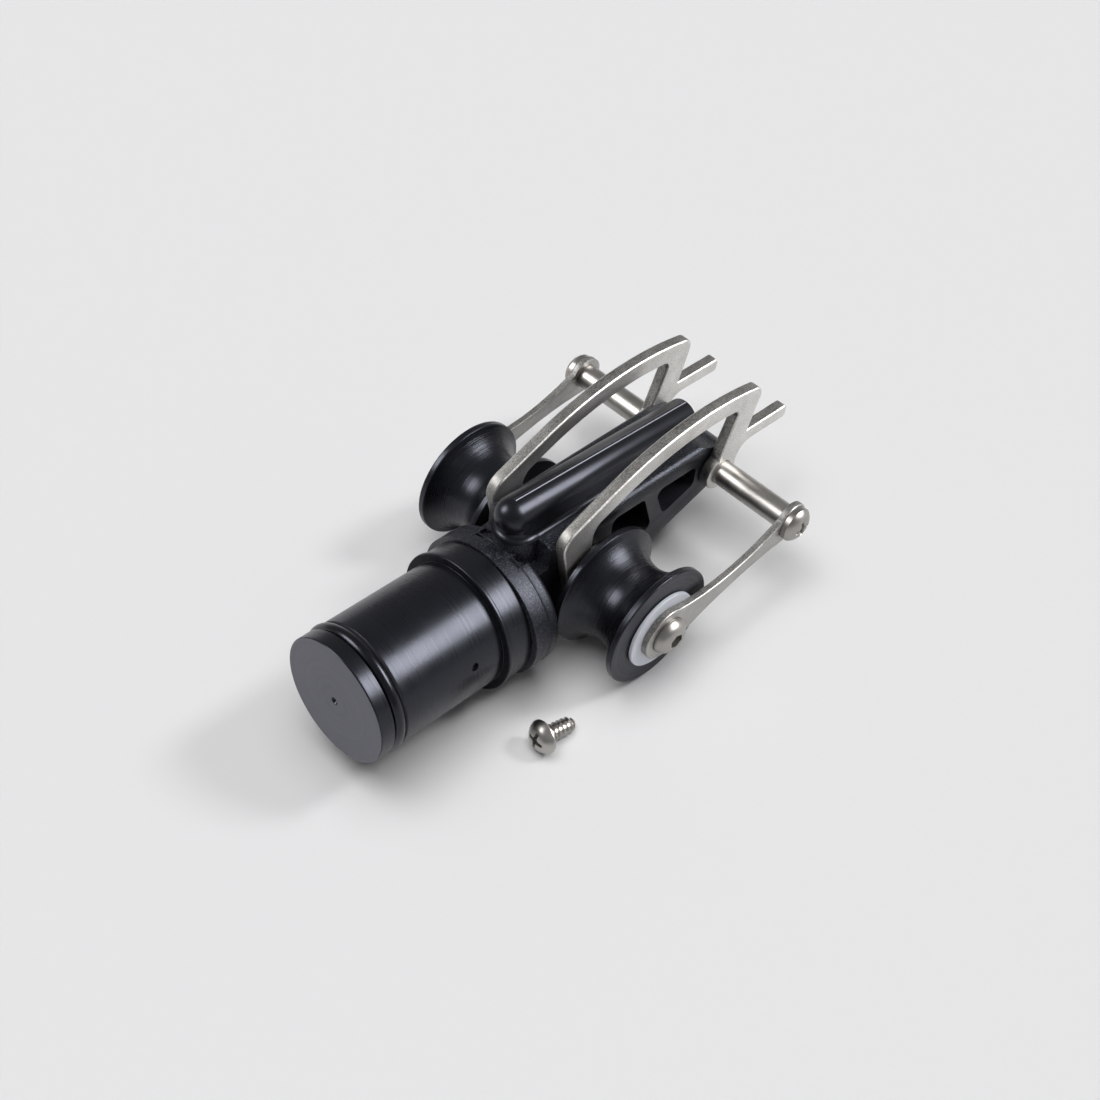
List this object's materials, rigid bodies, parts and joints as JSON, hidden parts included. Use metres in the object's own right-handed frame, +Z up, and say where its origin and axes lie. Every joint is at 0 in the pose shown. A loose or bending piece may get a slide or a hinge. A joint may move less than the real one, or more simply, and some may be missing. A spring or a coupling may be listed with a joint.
{
  "type": "roller jaw end fitting",
  "caption": "Pole end fitting: an O-ringed plug carries a moulded body with two grooved line rollers on a cross axle and a pair of hooked steel jaw plates.",
  "frame": {"origin": "centre of the plug's shoulder, where the end of the pole tube stops against the rim", "axes": "+X along the fitting from plug to jaws, level as it lies on a bench; +Y to the left along the axle; +Z up. The pole runs off along the plug's own line, 9.5 degrees above -X"},
  "size_m": [0.2016, 0.113, 0.0657],
  "materials": {
    "turned_acetal": "turned black plastic, satin",
    "moulded_nylon": "moulded black plastic, lightly textured",
    "seal_rubber": "smooth black rubber",
    "plate_steel": "tumbled stainless steel, satin",
    "bright_steel": "polished stainless steel",
    "white_acetal": "natural white plastic"
  },
  "bodies": {
    "frame": {"pole_plug": "turned_acetal", "pole_seal": "seal_rubber", "jaw_body": "moulded_nylon", "jaw_plate_left": "plate_steel", "jaw_plate_right": "plate_steel", "outer_washer_left": "white_acetal", "outer_washer_right": "white_acetal", "inner_washer_left": "white_acetal", "inner_washer_right": "white_acetal", "axle_rod": "bright_steel", "front_pin": "bright_steel", "link_arm_left": "plate_steel", "link_arm_right": "plate_steel", "axle_screw_left": "bright_steel", "axle_screw_right": "bright_steel", "pin_screw_left": "bright_steel", "pin_screw_right": "bright_steel"},
    "left_roller": {"roller_left": "turned_acetal", "roller_bush_left": "white_acetal"},
    "right_roller": {"roller_right": "turned_acetal", "roller_bush_right": "white_acetal"},
    "loose_screw": {"fixing_screw": "bright_steel"}
  },
  "joints": [
    {"name": "left_roller_spin", "type": "hinge", "parent": "frame", "child": "left_roller", "pos_m": [0.048, 0.0341, -0.00337], "axis": [0, 1, 0], "continuous": true},
    {"name": "right_roller_spin", "type": "hinge", "parent": "frame", "child": "right_roller", "pos_m": [0.048, -0.0341, -0.00337], "axis": [0, 1, 0], "continuous": true},
    {"name": "screw_lift", "type": "slide", "parent": "frame", "child": "loose_screw", "axis": [0, 0, 1], "range_m": [0, 0.06]}
  ]
}
